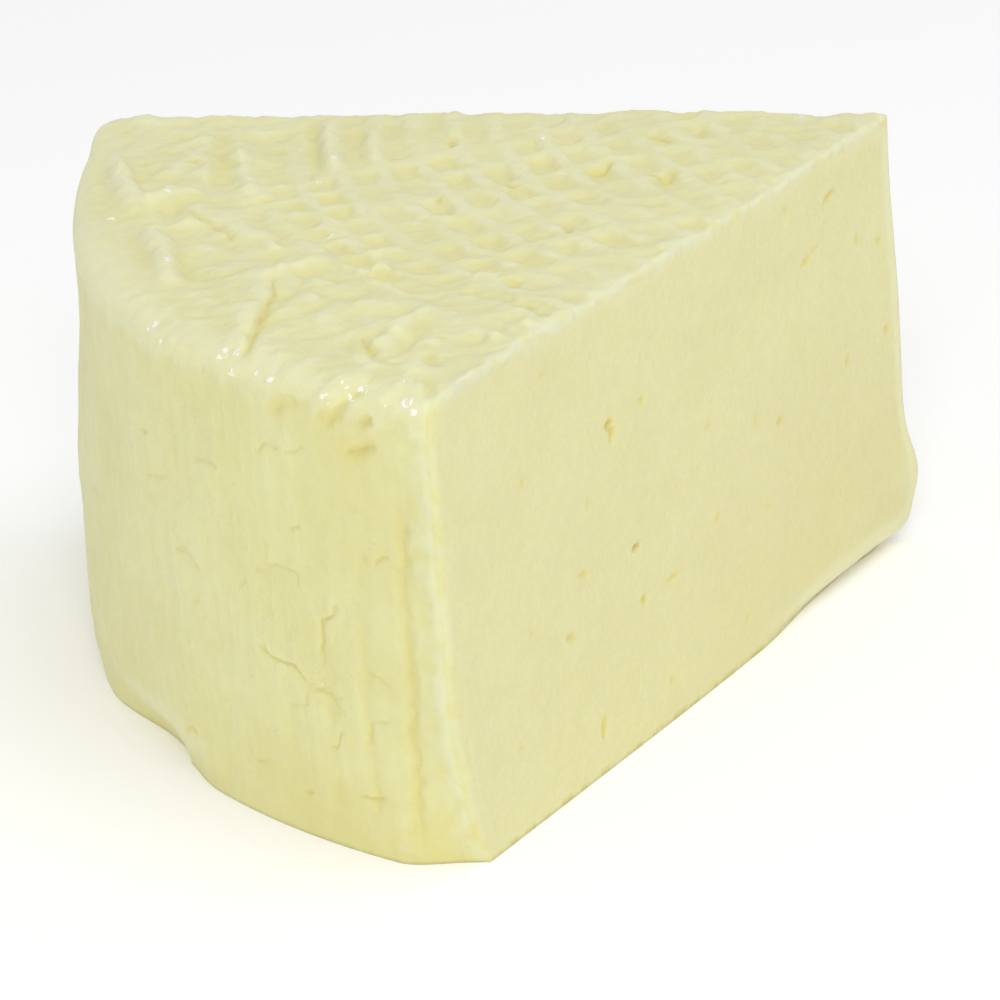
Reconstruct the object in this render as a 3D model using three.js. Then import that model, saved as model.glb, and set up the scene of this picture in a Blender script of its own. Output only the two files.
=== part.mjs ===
// Wedge of fresh white pressed cheese, cut from a round wheel. One solid: the moulded top carries the
// imprint and the folds of the cloth, the curved rim was moulded by the hoop, two sides are knife cuts.
import * as THREE from "three";

// Wheel and wedge, in millimetres and degrees. The bisector of the wedge runs along -X from its point.
const HEIGHT = 66.4;
const WHEEL_RADIUS = 113.5;
const WHEEL_CENTRE = [-10.6, -8.1];
const HALF_ANGLE = 35.2;

// Rim: rounded shoulder at each cut, the foot tucked in under the wheel with a notch in it, the low
// belly towards the back cut, and the upper wall there that leans in and flares at the corner.
const SHOULDER_FRONT = 5.4;
const SHOULDER_BACK = 2.2;
const FOOT_HEIGHT = 30;
const FOOT_TUCK = 0.8;
const FOOT_TUCK_FRONT = 5;
const FOOT_FRONT_SPAN = 5;
const FOOT_NOTCH = 3.2;
const NOTCH_START = -5;
const NOTCH_ANGLE = 8;
const BELLY = 0.8;
const LEAN_IN = 2.6;
const LEAN_ANGLE = -16;
const LEAN_SPAN = 15;
const CORNER_FLARE = 2;

// Point of the wedge: leans in at the top, bulges low down, and its foot is worn round. The foot of the
// front cut is tucked in beside it.
const POINT_LEAN = 0.8;
const POINT_BULGE = 2.1;
const BULGE_HEIGHT = 11;
const BULGE_SPREAD = 5.5;
const POINT_FOOT = 6;
const CUT_TUCK = 1.2;

// Imprint of the woven mat: sunken cells in columns and rows, flat ridges between them.
const COLUMN_PITCH = 6.31;
const COLUMN_START = 64.5;
const COLUMN_LEAN = 0.075;
const COLUMN_BEND = 0.0043;
const ROW_PITCH = 9;
const ROW_PITCH_RIM = 6.6;
const ROW_CHANGE = -80.5;
const CELL_DEPTH = 0.75;
const MAT_RADIUS = 88;
const MAT_FADE = 8;

// The top's slow waves, its sag towards the back corner, and its rise along the back cut near the point.
const TOP_WAVE = 0.35;
const BACK_SAG = 1;
const BACK_RISE = 0.6;

// Folds of the cloth in the smooth band along the rim: paths on the plan, measured from the point. Each is
// a crease with a raised lip on its right.
const FOLDS = [
  { path: [[-103, 18], [-100, -2], [-98, -8], [-103, -17.5], [-117.5, -46]], rise: 0.7, drop: 1.1, width: 3 },
  { path: [[-82.5, 57], [-92, 35], [-98, 21]], rise: 0.8, drop: 0.9, width: 4 },
  { path: [[-99, 58], [-104.5, 42], [-110, 22]], rise: 0.6, drop: 0.5, width: 3 },
  { path: [[-108, 2], [-111, -7], [-114.5, -16]], rise: 0.8, drop: 0.7, width: 3 },
  { path: [[-80, 25.5], [-77, 33], [-71, 48]], rise: 0.8, drop: 0.6, width: 3 },
  { path: [[-89, -43], [-94, -46], [-100, -50]], rise: 0.6, drop: 0.5, width: 3 },
  { path: [[-97, 18.5], [-104, 18.4], [-111, 19]], rise: 0.9, drop: 0.4, width: 3 },
];

// Grooves left in the rim by pleats of the cloth: angle from the bisector, heights, depth.
const GROOVES = [
  { angle: 32.5, low: 3, high: 53, depth: 0.6 },
  { angle: 28.9, low: 4, high: 30, depth: 0.4 },
  { angle: 26.2, low: 1, high: 34, depth: 0.3 },
];
const GROOVE_WIDTH = 1.5;
const PLEAT_DEPTH = 0.18;
const PLEAT_PITCH = 4.6;

// Torn hollow in the shoulder beside the front cut.
const TEAR_ANGLE = 29.8;
const TEAR_HEIGHT = 59.5;
const TEAR_WIDTH = 4.2;
const TEAR_DEPTH = 1.3;

// Mesh spacing on the top and along the rim, and the number of steps on the cuts and up the wall.
const TOP_STEP = 1.82;
const CUT_STEPS = 22;
const WALL_STEPS = 12;
const SHOULDER_STEPS = 5;
const CUT_TOP_MARGIN = 3;

const rad = THREE.MathUtils.degToRad;
const smooth = (v, a, b) => {
  const t = THREE.MathUtils.clamp((v - a) / (b - a), 0, 1);
  return t * t * (3 - 2 * t);
};
const hill = (v, width) => Math.exp(-((v / width) ** 2));

// Distance from the point of the wedge to the rim circle at an angle from the bisector.
function reach(angle) {
  const along = -Math.cos(angle) * WHEEL_CENTRE[0] - Math.sin(angle) * WHEEL_CENTRE[1];
  const offset = WHEEL_CENTRE[0] ** 2 + WHEEL_CENTRE[1] ** 2;
  return along + Math.sqrt(along * along - offset + WHEEL_RADIUS ** 2);
}

function shoulder(angle) {
  return THREE.MathUtils.lerp(SHOULDER_BACK, SHOULDER_FRONT, smooth(angle, rad(-32), rad(6)));
}

// Shift of the wedge's point towards the rim at a height.
function pointShift(z) {
  const lean = POINT_LEAN * smooth(z, 35, 60);
  const bulge = POINT_BULGE * hill(z - BULGE_HEIGHT, BULGE_SPREAD);
  const foot = POINT_FOOT * (1 - smooth(z, 0, 4.5)) ** 2;
  return lean - bulge + foot;
}

// How far the rim stands in from the full wheel at a height below the shoulder.
function rimInset(angle, z) {
  const frontTuck = FOOT_TUCK_FRONT * smooth(angle, rad(HALF_ANGLE - FOOT_FRONT_SPAN), rad(HALF_ANGLE));
  const low = Math.max(0, (FOOT_HEIGHT - z) / FOOT_HEIGHT);
  const notchEnd = smooth(angle, rad(NOTCH_ANGLE - 0.5), rad(NOTCH_ANGLE + 1));
  const notchFade = smooth(angle, rad(NOTCH_ANGLE), rad(NOTCH_ANGLE + 6));
  const notched = smooth(angle, rad(NOTCH_START), rad(NOTCH_START + 10)) * (1 - (notchEnd + notchFade) / 2);
  const notch = FOOT_NOTCH * notched * (1 - smooth(z, 0, 7));
  const belly = BELLY * hill(z - 9, 13) * (1 - smooth(angle, rad(-8), rad(6)));
  const lean = LEAN_IN * hill(angle - rad(LEAN_ANGLE), rad(LEAN_SPAN)) * smooth(z, 28, 56);
  const flare = CORNER_FLARE * smooth(-angle, rad(26), rad(35)) * smooth(z, 30, 60);
  return (FOOT_TUCK + frontTuck) * low * low + notch - belly + lean - flare;
}

// Relief of the rim, outwards: pleats of the cloth, three deep grooves and the torn hollow.
function rimRelief(angle, z) {
  const arc = angle * WHEEL_RADIUS;
  let out = PLEAT_DEPTH * Math.sin((arc * 2 * Math.PI) / PLEAT_PITCH + 1.6 * Math.sin(arc / 9));
  out *= smooth(z, 0, 4) * (1 - smooth(z, HEIGHT - 9, HEIGHT - 4));
  for (const g of GROOVES) {
    const across = arc - rad(g.angle) * WHEEL_RADIUS;
    const length = smooth(z, g.low - 2, g.low + 3) * (1 - smooth(z, g.high - 8, g.high));
    out -= g.depth * length * hill(across, GROOVE_WIDTH);
  }
  const tear = Math.hypot(arc - rad(TEAR_ANGLE) * WHEEL_RADIUS, (z - TEAR_HEIGHT) * 1.2);
  return out - TEAR_DEPTH * hill(tear, TEAR_WIDTH);
}

// Signed distance from a path on the plan, positive on the inner side, and the share along it.
function beside(path, x, y) {
  let best = { away: Infinity, along: 0 };
  for (let i = 0; i + 1 < path.length; i++) {
    const [ax, ay] = path[i];
    const [dx, dy] = [path[i + 1][0] - ax, path[i + 1][1] - ay];
    const t = THREE.MathUtils.clamp(((x - ax) * dx + (y - ay) * dy) / (dx * dx + dy * dy), 0, 1);
    const gap = Math.hypot(x - ax - t * dx, y - ay - t * dy);
    if (gap < Math.abs(best.away)) {
      const side = dx * (y - ay) - dy * (x - ax) > 0 ? 1 : -1;
      best = { away: gap * side, along: (i + t) / (path.length - 1) };
    }
  }
  return best;
}

function folds(x, y) {
  let z = 0;
  for (const f of FOLDS) {
    const { away, along } = beside(f.path, x, y);
    const ends = smooth(along, 0, 0.2) * (1 - smooth(along, 0.8, 1));
    const lip = smooth(-away, -0.2 * f.width, 0.6 * f.width) * hill(away, 2.5 * f.width);
    z += ends * (f.rise * lip - f.drop * hill(away, 0.5 * f.width));
  }
  return z;
}

// Sunken cells of the mat's imprint, each a flat-bottomed dish.
function imprint(x, y) {
  const column = (x + COLUMN_START - COLUMN_LEAN * y - COLUMN_BEND * y * y) / COLUMN_PITCH;
  const row = x < ROW_CHANGE ? (y - 3.5) / ROW_PITCH_RIM : (y - 0.8) / ROW_PITCH;
  const fromColumn = Math.abs(column - Math.round(column));
  const fromRow = Math.abs(row - Math.round(row));
  const cell = (1 - smooth(fromColumn, 0.2, 0.42)) * (1 - smooth(fromRow, 0.22, 0.44));
  const fromCentre = Math.hypot(x - WHEEL_CENTRE[0], y - WHEEL_CENTRE[1]);
  return -CELL_DEPTH * cell * (1 - smooth(fromCentre, MAT_RADIUS - MAT_FADE, MAT_RADIUS));
}

function topHeight(x, y) {
  const sag = BACK_SAG * smooth(-x, 35, 95) * smooth(y, 0, 60);
  const wave = TOP_WAVE * Math.sin(x / 7.5 + 0.6 * Math.sin(y / 8)) * Math.sin(y / 9.5 + 0.8);
  const rise = BACK_RISE * hill(x + 21, 12) * smooth(y, 0, 12);
  return HEIGHT - sag + rise + wave + imprint(x, y) + folds(x, y);
}

const points = [];
const faces = [];
const add = (x, y, z) => points.push(x, y, z) / 3 - 1;

// Joins two rows of points into a strip of triangles; the rows may have different counts.
function zip(low, high) {
  let i = 0;
  let j = 0;
  while (i + 1 < low.length || j + 1 < high.length) {
    const nextLow = (i + 1) / (low.length - 1 || 1);
    const nextHigh = (j + 1) / (high.length - 1 || 1);
    if (j + 1 >= high.length || (i + 1 < low.length && nextLow <= nextHigh)) {
      faces.push(low[i], high[j], low[i + 1]);
      i++;
    } else {
      faces.push(low[i], high[j], high[j + 1]);
      j++;
    }
  }
}

const FRONT = rad(HALF_ANGLE);
const BACK = -FRONT;
const RIM_STEPS = Math.round((reach(0) * (FRONT - BACK)) / TOP_STEP);
const rimAngle = (i) => THREE.MathUtils.lerp(FRONT, BACK, i / RIM_STEPS);

// Height and inset of the rim at a step up the wall: first the wall, then round the shoulder.
function wallStep(angle, step) {
  const round = shoulder(angle);
  if (step <= WALL_STEPS) {
    const z = ((HEIGHT - round) * step) / WALL_STEPS;
    return [z, rimInset(angle, z)];
  }
  const turn = (Math.PI / 2) * ((step - WALL_STEPS) / SHOULDER_STEPS);
  const z = HEIGHT - round + round * Math.sin(turn);
  return [z, rimInset(angle, z) + round * (1 - Math.cos(turn))];
}

// A place on a level: out from the wedge's point by a share of the way to the rim.
const TOP = WALL_STEPS + SHOULDER_STEPS;
function place(share, angle, step) {
  const [z, inset] = wallStep(angle, step);
  const far = reach(angle) - inset + (step > 0 ? rimRelief(angle, z) : 0);
  const shift = pointShift(z) * (1 - share) ** 4;
  return [-Math.cos(angle) * share * far - shift, -Math.sin(angle) * share * far, z];
}

// A place on the wall: levels follow the top's own edge at the rim and are evenly spread over a cut.
function onWall(share, angle, step) {
  const [x, y, z] = place(share, angle, step);
  const [edgeX, edgeY] = place(1, angle, TOP);
  const atRim = (z * topHeight(edgeX, edgeY)) / HEIGHT;
  const onCut = ((HEIGHT - CUT_TOP_MARGIN) * step) / (TOP - 1);
  const level = THREE.MathUtils.lerp(onCut, atRim, smooth(share, 0.82, 1));
  const shift = (pointShift(level) - pointShift(z)) * (1 - share) ** 4;
  const besidePoint = smooth(share, 0.02, 0.1) * (1 - smooth(share, 0.2, 0.38));
  const tuck = angle === FRONT ? CUT_TUCK * besidePoint * (1 - smooth(level, 0, 4)) : 0;
  return [x - shift - Math.sin(FRONT) * tuck, y + Math.cos(FRONT) * tuck, level];
}

// Rows across the top from the point to the shoulder, each ending on the two cuts.
const rowCount = Math.round(reach(0) / TOP_STEP);
const rows = [];
for (let i = 0; i <= rowCount; i++) {
  const share = i / rowCount;
  const steps = i === rowCount ? RIM_STEPS : Math.max(1, Math.round(share * RIM_STEPS));
  const row = [];
  for (let j = 0; j <= (i === 0 ? 0 : steps); j++) {
    const [x, y] = place(share, THREE.MathUtils.lerp(FRONT, BACK, j / steps), TOP);
    row.push(add(x, y, topHeight(x, y)));
  }
  rows.push(row);
}
for (let i = 0; i < rowCount; i++) zip(rows[i + 1], rows[i]);

// Levels up the wall: front cut, rim and back cut share their corner points.
const levels = [];
for (let step = 0; step < TOP; step++) {
  const point = add(...onWall(0, 0, step));
  const front = [point];
  for (let i = 1; i <= CUT_STEPS; i++) front.push(add(...onWall(i / CUT_STEPS, FRONT, step)));
  const rim = [front.at(-1)];
  for (let i = 1; i <= RIM_STEPS; i++) rim.push(add(...onWall(1, rimAngle(i), step)));
  const back = [rim.at(-1)];
  for (let i = CUT_STEPS - 1; i >= 1; i--) back.push(add(...onWall(i / CUT_STEPS, BACK, step)));
  back.push(point);
  levels.push({ front, rim, back });
}
levels.push({
  front: rows.map((row) => row[0]),
  rim: rows[rowCount],
  back: rows.map((row) => row.at(-1)).reverse(),
});
for (let step = 0; step < TOP; step++) {
  for (const side of ["front", "rim", "back"]) zip(levels[step][side], levels[step + 1][side]);
}

// Flat base: strips across from cut to cut, closed by the lowest level of the wall.
const base = levels[0];
for (let i = 0; i < CUT_STEPS; i++) {
  const inner = [base.front[i], base.back.at(-1 - i)];
  const outer = [base.front[i + 1], base.back.at(-2 - i)];
  zip(i ? inner : [base.front[0]], i + 1 < CUT_STEPS ? outer : base.rim);
}

const geometry = new THREE.BufferGeometry();
geometry.setAttribute("position", new THREE.Float32BufferAttribute(points, 3));
geometry.setIndex(faces);
geometry.computeBoundingBox();
const box = geometry.boundingBox;
geometry.translate(-(box.min.x + box.max.x) / 2, -(box.min.y + box.max.y) / 2, -box.min.z);
geometry.computeVertexNormals();

const cheese = new THREE.Mesh(geometry, new THREE.MeshStandardMaterial({ color: 0xe2deab, roughness: 0.5 }));
cheese.name = "cheese_wedge";
const part = new THREE.Group();
part.name = "panela_cheese_wedge";
part.add(cheese);

export default part;
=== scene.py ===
import math

import bpy
import numpy as np
from mathutils import Matrix, Vector, noise


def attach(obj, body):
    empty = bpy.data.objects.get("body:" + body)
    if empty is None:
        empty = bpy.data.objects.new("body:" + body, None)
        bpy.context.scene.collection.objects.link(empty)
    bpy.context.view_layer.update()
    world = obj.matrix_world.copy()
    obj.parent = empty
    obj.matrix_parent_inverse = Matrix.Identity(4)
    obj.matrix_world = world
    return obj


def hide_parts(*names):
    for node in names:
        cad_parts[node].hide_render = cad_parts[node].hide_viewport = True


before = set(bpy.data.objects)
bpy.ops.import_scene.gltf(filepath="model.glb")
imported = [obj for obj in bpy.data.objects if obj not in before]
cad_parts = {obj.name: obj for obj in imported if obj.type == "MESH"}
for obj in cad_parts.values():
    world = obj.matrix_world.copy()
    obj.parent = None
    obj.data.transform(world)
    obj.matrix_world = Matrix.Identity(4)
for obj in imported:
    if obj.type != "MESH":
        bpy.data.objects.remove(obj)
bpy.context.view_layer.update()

# The wheel's rim: the wall of fresh curd that the cloth-lined hoop moulded, with a rounded shoulder above
# and a foot tucked in below. Upright pleats of the cloth and fine cracks are left in it. All sizes are in
# millimetres, measured from the wedge's point; its bisector runs along -X.
HEIGHT = 66.4
WHEEL_RADIUS = 113.5
WHEEL_CENTRE = (-10.6, -8.1)
HALF_ANGLE = math.radians(35.2)
SHOULDER_FRONT, SHOULDER_BACK = 5.4, 2.2
SHOULDER_DROP = 0.5
FOOT_HEIGHT = 30
FOOT_TUCK, FOOT_TUCK_FRONT = 0.8, 5
FOOT_FRONT_SPAN = 5
FOOT_NOTCH, NOTCH_START, NOTCH_ANGLE = 3.2, -5, 8
BELLY = 0.8
LEAN_IN, LEAN_ANGLE, LEAN_SPAN = 2.6, -16, 15
CORNER_FLARE = 2
CORNER_ROUND, CORNER_ROUND_DEPTH = 2.4, 0.45
PLEAT_DEPTH, PLEAT_PITCH = 0.06, 4.6
FINE_PLEAT_DEPTH = 0.02
WALL_LUMP, WALL_GRAIN = 0.3, 0.09
TORN_SHIFT, TORN_SIZE = 0.6, 2.2
RIM_DEGREE = math.radians(1) * WHEEL_RADIUS
# Grooves of the deepest pleats, with depth and half width, and cracks, with how far each is torn open.
# Their places are in degrees from the bisector and in height.
RIM_GROOVES = [
    ([(32.7, 52), (32.4, 30), (31.8, 3)], 0.7, 0.85),
    ([(29.1, 36), (29, 20), (28.8, 4)], 0.35, 0.8),
    ([(26.3, 46), (26, 30), (26.1, 3)], 0.25, 0.9),
    ([(22.4, 40), (22.3, 10)], 0.15, 0.9),
    ([(17.2, 30), (16, 12)], 0.15, 0.9),
    ([(-9, 48), (-8.6, 22)], 0.2, 1),
    ([(-19.5, 40), (-20, 8)], 0.3, 0.9),
    ([(-27, 52), (-27.4, 30), (-27.2, 10)], 0.25, 1),
]
RIM_CRACKS = [
    ([(19.7, 26.6), (20.5, 25.4), (22, 25), (23.4, 24.6), (24.2, 22.9), (25.4, 22.4), (27, 21.2)], 0.55),
    ([(27.4, 36), (26.8, 33.2), (26, 32.5), (25.8, 29), (25.6, 26)], 0.5),
    ([(24.3, 23), (24.1, 19.6), (22.1, 18.3)], 0.3),
    ([(27, 17.5), (26.3, 15.4), (25.5, 14.4)], 0.45),
    ([(30.6, 20.4), (29.2, 19.9), (28.9, 16)], 0.4),
    ([(27.2, 22.8), (26.3, 21.8), (26.9, 20), (25.6, 19)], 0.25),
    ([(21.4, 53.5), (22.4, 55.2), (23.7, 55.4)], 0.4),
    ([(24.1, 55.1), (25.9, 56.1)], 0.35),
    ([(23.5, 44.2), (24.8, 44.7)], 0.4),
    ([(29.7, 43.6), (29.5, 41.9)], 0.35),
    ([(30.1, 42.7), (31.4, 43.7)], 0.4),
    ([(14.6, 49), (16.3, 49.8), (17.6, 49)], 0.4),
    ([(8, 49), (9.6, 49.7)], 0.5),
    ([(8.4, 42.8), (11, 44.1)], 0.35),
    ([(21.4, 38), (22.5, 38.5), (24, 38.4), (24.2, 36.2)], 0.35),
    ([(20.3, 36.1), (21.5, 37.6)], 0.25),
    ([(11.5, 34.3), (12.9, 34.8), (14.9, 33)], 0.35),
    ([(18.4, 33.2), (19.5, 34.8)], 0.3),
    ([(27.5, 8), (29.8, 9.4)], 0.45),
    ([(22.8, 5.8), (23.8, 6.6)], 0.5),
    ([(10.3, 7.2), (12.1, 7.7)], 0.4),
    ([(28.9, 26.8), (31, 25.6)], 0.3),
    ([(18.5, 8.3), (20.2, 8.2)], 0.4),
    ([(28.6, 51), (29.1, 48.6)], 0.25),
    ([(12.9, 27.5), (14.2, 28.6)], 0.25),
    ([(-4.5, 31), (-3.2, 32.3), (-1.8, 31.8)], 0.35),
    ([(-12.2, 44.6), (-10.6, 45.8)], 0.35),
    ([(-15.4, 20.5), (-14.6, 23.4), (-12.9, 24.1)], 0.45),
    ([(-22.8, 36.2), (-21.6, 34.9), (-21.4, 32.6)], 0.4),
    ([(-26.5, 17), (-24.8, 18.3), (-23.6, 17.8)], 0.35),
    ([(-30.6, 47.2), (-29.2, 48.5)], 0.4),
    ([(-31.4, 25.8), (-30.2, 24.6)], 0.35),
    ([(-7.4, 11.2), (-5.9, 12)], 0.35),
]
CRACK_WIDTH = 0.45
CRACK_DEPTH = 0.5
# How much whey stands in a groove and in a crack.
GROOVE_WHEY, CRACK_WHEY = 0.5, 0.4
# Short marks where the weave pulled at the curd, most of them level, closer together towards the front.
MARKS, MARK_TORN = 110, 0.2
mark_draw = np.random.default_rng(5)
mark_places = np.stack([34 - 67 * mark_draw.random(MARKS) ** 1.3, mark_draw.uniform(4, 57, MARKS)], 1)
mark_turns = mark_draw.normal(0, 0.6, MARKS)
mark_halves = mark_draw.uniform(0.5, 1.3, MARKS)


def smooth(v, start, end):
    """0 at start and 1 at end, with no sharp bend at either."""
    t = np.clip((v - start) / (end - start), 0, 1)
    return t * t * (3 - 2 * t)


def hill(v, width):
    """1 at 0, falling off on both sides."""
    return np.exp(-((v / width) ** 2))


def lumps(x, y, z, size, octaves=1):
    """Smooth noise at places in the curd, with lumps of about that size. A fixed number picks a slice."""
    places = np.stack(np.broadcast_arrays(x, y, z), -1).reshape(-1, 3) / size
    values = [noise.fractal(Vector(p), 1.0, 2.0, octaves) for p in places]
    return np.array(values).reshape(np.broadcast(x, y, z).shape)


def beside(path, x, y):
    """Signed distance from a path, positive on its left, and the share of the way along it."""
    away = np.full(np.shape(x), np.inf)
    along = np.zeros(np.shape(x))
    spans = len(path) - 1
    for i in range(spans):
        (ax, ay), (bx, by) = path[i], path[i + 1]
        dx, dy = bx - ax, by - ay
        t = np.clip(((x - ax) * dx + (y - ay) * dy) / (dx * dx + dy * dy), 0, 1)
        gap = np.hypot(x - ax - t * dx, y - ay - t * dy)
        side = np.where(dx * (y - ay) - dy * (x - ax) > 0, 1.0, -1.0)
        nearer = gap < np.abs(away)
        away = np.where(nearer, gap * side, away)
        along = np.where(nearer, (i + t) / spans, along)
    return away, along


def faded(along, first, last, past=0.05):
    """1 along a path, fading out over its first and last shares, to a little past its ends."""
    return smooth(along, -past, first) * (1 - smooth(along, last, 1 + past))


def reach(angle):
    """From the wedge's point to the rim circle."""
    toward = -np.cos(angle) * WHEEL_CENTRE[0] - np.sin(angle) * WHEEL_CENTRE[1]
    return toward + np.sqrt(toward**2 - WHEEL_CENTRE[0] ** 2 - WHEEL_CENTRE[1] ** 2 + WHEEL_RADIUS**2)


def shoulder(angle):
    """How far in the shoulder reaches from the wall, wider at the front."""
    front = smooth(np.degrees(angle), -32, 6)
    return SHOULDER_BACK + (SHOULDER_FRONT - SHOULDER_BACK) * front


def running_share(steps):
    """Share of the whole that is reached at each step of a profile."""
    sums = np.concatenate([[0], np.cumsum(steps[:-1] + steps[1:])])
    return sums / sums[-1]


# The shoulder bends sharply off the wall and then flattens towards the top.
profile_ways = np.linspace(0, 1, 41)
profile_tilts = np.pi / 2 * np.sqrt(profile_ways)
profile_in, profile_up = running_share(np.sin(profile_tilts)), running_share(np.cos(profile_tilts))


def rim_inset(angle, z):
    """How far the rim stands in from the full wheel."""
    a = np.degrees(angle)
    half = math.degrees(HALF_ANGLE)
    tuck = FOOT_TUCK + FOOT_TUCK_FRONT * smooth(a, half - FOOT_FRONT_SPAN, half)
    low = np.maximum(0, (FOOT_HEIGHT - z) / FOOT_HEIGHT)
    notch_end = (smooth(a, NOTCH_ANGLE - 0.5, NOTCH_ANGLE + 1) + smooth(a, NOTCH_ANGLE, NOTCH_ANGLE + 6)) / 2
    notch = FOOT_NOTCH * smooth(a, NOTCH_START, NOTCH_START + 10) * (1 - notch_end) * (1 - smooth(z, 0, 7))
    belly = BELLY * hill(z - 9, 13) * (1 - smooth(a, -8, 6))
    lean = LEAN_IN * hill(a - LEAN_ANGLE, LEAN_SPAN) * smooth(z, 28, 56)
    flare = CORNER_FLARE * smooth(-a, 26, 35) * smooth(z, 30, 60)
    from_corner = WHEEL_RADIUS * (HALF_ANGLE - np.abs(angle))
    rounding = CORNER_ROUND_DEPTH * np.clip(1 - from_corner / CORNER_ROUND, 0, 1) ** 2
    return tuck * low**2 + notch - belly + lean - flare + rounding


def jagged(arc, z):
    """Places on the rim shifted a little, so that lines drawn through them come out torn."""
    shift_arc, shift_z = lumps(arc, z, 25.0, TORN_SIZE, 2), lumps(arc, z, 5.0, TORN_SIZE, 2)
    return arc + TORN_SHIFT * shift_arc, z + TORN_SHIFT * shift_z


def rim_relief(angle, z):
    """Relief of the rim, outwards, and how deep into a hollow each place lies, from 0 to 1."""
    arc = angle * WHEEL_RADIUS
    wall = smooth(z, 0, 4) * (1 - smooth(z, HEIGHT - 9, HEIGHT - 4))
    front = smooth(np.degrees(angle), 0, 25)
    pleats = PLEAT_DEPTH * np.sin(arc * 2 * np.pi / PLEAT_PITCH + 1.6 * np.sin(arc / 9))
    streaks = FINE_PLEAT_DEPTH * (0.3 + 0.7 * front) * lumps(arc, z * 0.06, 3.0, 1.7, 2)
    uneven = WALL_LUMP * lumps(arc, z, 8.0, 11.0, 2) + WALL_GRAIN * lumps(arc, z, 2.0, 2.4, 2)
    out = wall * (pleats * (0.5 + lumps(arc, z, 1.0, 14.0)) + streaks + uneven)
    hollow = np.zeros(np.shape(out))
    jagged_arc, jagged_z = jagged(arc, z)
    for path, depth, width in RIM_GROOVES:
        away, along = beside([(a * RIM_DEGREE, h) for a, h in path], jagged_arc, z)
        patchy = 0.75 + 0.5 * lumps(z, path[0][0], 4.0, 9.0)
        groove = patchy * faded(along, 0.12, 0.85) * hill(away, width)
        out = out - depth * groove
        hollow = np.maximum(hollow, GROOVE_WHEY * depth * groove)
    for path, torn in RIM_CRACKS:
        away, along = beside([(a * RIM_DEGREE, h) for a, h in path], jagged_arc, jagged_z)
        crack = torn * faded(along, 0.15, 0.85, 0) * hill(away, CRACK_WIDTH)
        out = out - CRACK_DEPTH * crack
        hollow = np.maximum(hollow, CRACK_WHEY * crack)
    return out, hollow


# The pressed top: the face that lay on a woven mat, which left columns of sunken cells with soft ridges
# between. Towards the rim a fold of the lining cloth came between, so that band has creases and crumpled
# folds instead.
COLUMN_PITCH, COLUMN_START = 6.22, 66.1
COLUMN_LEAN, COLUMN_BEND = 0.09, 0.0045
ROW_PITCH, ROW_START = 9.2, -2.7
ROW_PITCH_RIM, ROW_START_RIM, ROW_CHANGE = 6.8, 1.6, -82
CELL_DEPTH = 1.15
LEAST_PRESSED = 0.62
LINE_WAVER, LINE_WAVER_SIZE = 0.5, 5.0
MAT_RADIUS, MAT_FADE = 88, 8
TOP_WAVE, BACK_SAG, BACK_RISE = 0.35, 1, 0.6
EDGE_FADE = 4
CRUMPLE, CRUMPLE_SINK = 1.1, 0.22
GRAIN, FINE_GRAIN = 0.19, 0.08
# How much whey stands in a cell, and in a crease by how steep it is, up to a most.
CELL_WHEY, CREASE_WHEY, MOST_CREASE_WHEY = 0.13, 0.3, 0.6
# Where the mat pressed hardest: place on the plan and half lengths.
PRESSED = [(-62, -7, 19, 11), (-48, 9, 9, 10), (-87, 2, 8, 15)]
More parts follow.
